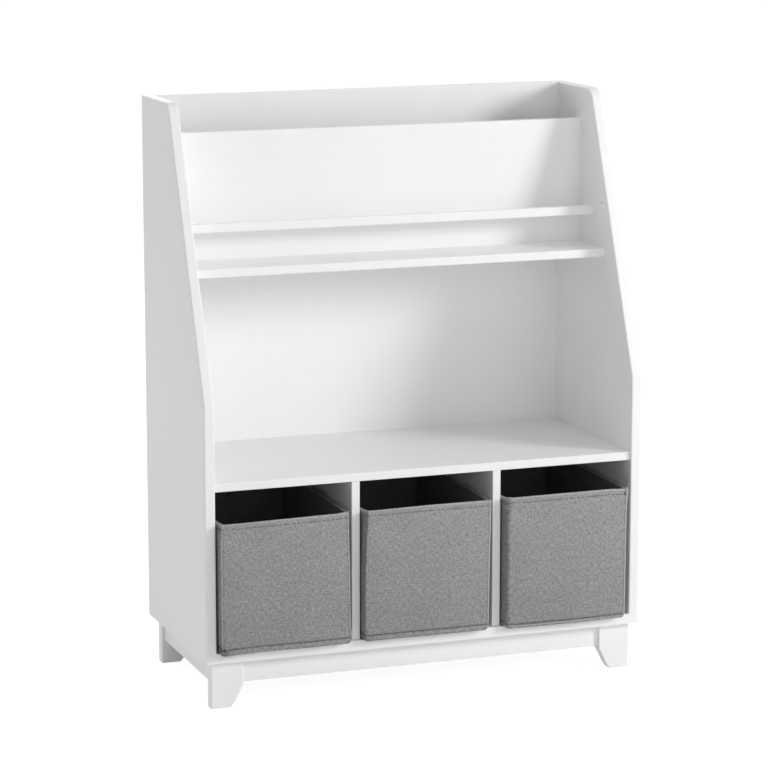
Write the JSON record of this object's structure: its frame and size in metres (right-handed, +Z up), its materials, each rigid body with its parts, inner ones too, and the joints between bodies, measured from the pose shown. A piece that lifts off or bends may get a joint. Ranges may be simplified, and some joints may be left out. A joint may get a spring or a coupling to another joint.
{
  "type": "toy storage organizer with bins",
  "caption": "White children's storage organizer: two-pocket book rack over an open display bay and a row of cubbies with soft fabric bins that pull out.",
  "frame": {"origin": "on the floor, at the centre of the footprint of the case and the pushed-in bins", "axes": "+X to the right as seen from the front, -Y towards the front where the bins pull out, +Z up"},
  "size_m": [0.65, 0.304, 0.826],
  "materials": {
    "painted_board": "smooth white satin paint on engineered board",
    "raw_wood": "bare light hardwood",
    "zinc_plated_steel": "bright zinc plating",
    "cast_zinc": "dull cast zinc alloy",
    "bin_cover": "mid grey heathered woven linen-look fabric, stitched edges",
    "bin_lining": "black non-woven lining fabric",
    "bin_board": "stiff grey-brown paperboard"
  },
  "bodies": {
    "case": {"side_left": "painted_board", "side_right": "painted_board", "bottom_panel": "painted_board", "back_panel": "painted_board", "lower_shelf": "painted_board", "book_shelf": "painted_board", "divider_1": "painted_board", "divider_2": "painted_board", "book_panel": "painted_board", "book_rail": "painted_board", "leg_front_left": "painted_board", "leg_front_right": "painted_board", "leg_back_left": "painted_board", "leg_back_right": "painted_board", "apron_front": "painted_board", "apron_back": "painted_board", "apron_left": "painted_board", "apron_right": "painted_board", "corner_blocks": "raw_wood", "dowels": "raw_wood", "cam_bolts": "zinc_plated_steel", "cam_nuts": "cast_zinc", "case_screws": "zinc_plated_steel", "back_screws": "zinc_plated_steel", "block_screws": "zinc_plated_steel"},
    "bin_1": {"bin_1_cover": "bin_cover", "bin_1_wall_boards": "bin_board", "bin_1_lining": "bin_lining", "bin_1_base_board": "bin_lining", "bin_1_hem": "bin_cover"},
    "bin_2": {"bin_2_cover": "bin_cover", "bin_2_wall_boards": "bin_board", "bin_2_lining": "bin_lining", "bin_2_base_board": "bin_lining", "bin_2_hem": "bin_cover"},
    "bin_3": {"bin_3_cover": "bin_cover", "bin_3_wall_boards": "bin_board", "bin_3_lining": "bin_lining", "bin_3_base_board": "bin_lining", "bin_3_hem": "bin_cover"}
  },
  "joints": [
    {"name": "bin_1_slide", "type": "slide", "parent": "case", "child": "bin_1", "axis": [0, -1, 0], "range_m": [0, 0.275]},
    {"name": "bin_2_slide", "type": "slide", "parent": "case", "child": "bin_2", "axis": [0, -1, 0], "range_m": [0, 0.275]},
    {"name": "bin_3_slide", "type": "slide", "parent": "case", "child": "bin_3", "axis": [0, -1, 0], "range_m": [0, 0.275]}
  ]
}
